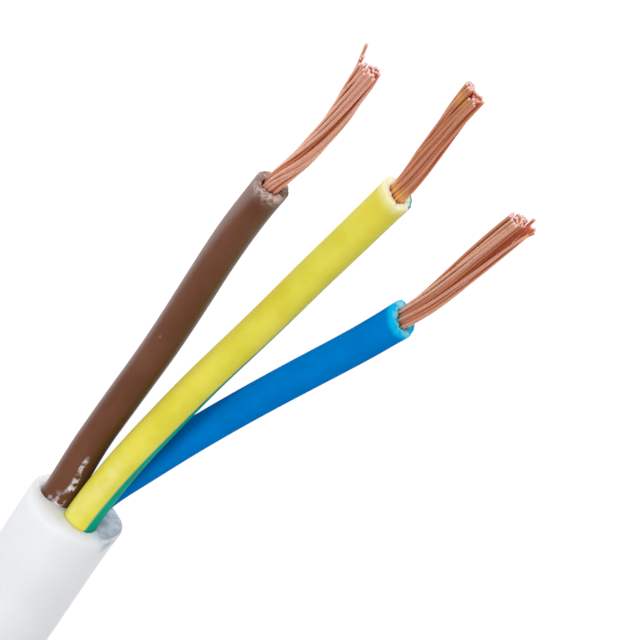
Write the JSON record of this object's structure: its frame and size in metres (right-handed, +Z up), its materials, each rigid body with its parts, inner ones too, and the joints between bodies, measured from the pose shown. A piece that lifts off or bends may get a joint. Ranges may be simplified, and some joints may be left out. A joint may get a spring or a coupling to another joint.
{
  "type": "coil of three-core flexible electrical cable with a stripped end",
  "caption": "Coil of white round flexible cable bound with plain ties, its free end stripped to brown, green-and-yellow and blue cores with bare stranded copper tips.",
  "frame": {"origin": "on the floor plane, below the middle of the whole part's bounding box", "axes": "+Z up along the coil's axis; +X along the straight lead, from the coil towards the stripped tips; +Y from the lead towards the coil's centre"},
  "size_m": [0.2844, 0.2126, 0.0521],
  "materials": {
    "white_pvc": "soft white flexible PVC, slight sheen",
    "brown_pvc": "satin",
    "green_yellow_pvc": "satin, yellow with one green stripe along it",
    "blue_pvc": "satin",
    "bare_copper": "bright bare stranded copper",
    "natural_nylon": "satin natural nylon"
  },
  "bodies": {
    "root": {"cable_coil": "white_pvc", "cable_lead": "white_pvc", "core_brown": "brown_pvc", "core_green_yellow": "green_yellow_pvc", "core_blue": "blue_pvc", "conductor_brown": "bare_copper", "conductor_green_yellow": "bare_copper", "conductor_blue": "bare_copper", "cable_tie_1": "natural_nylon", "cable_tie_2": "natural_nylon", "cable_tie_3": "natural_nylon", "cable_tie_4": "natural_nylon"}
  },
  "joints": []
}
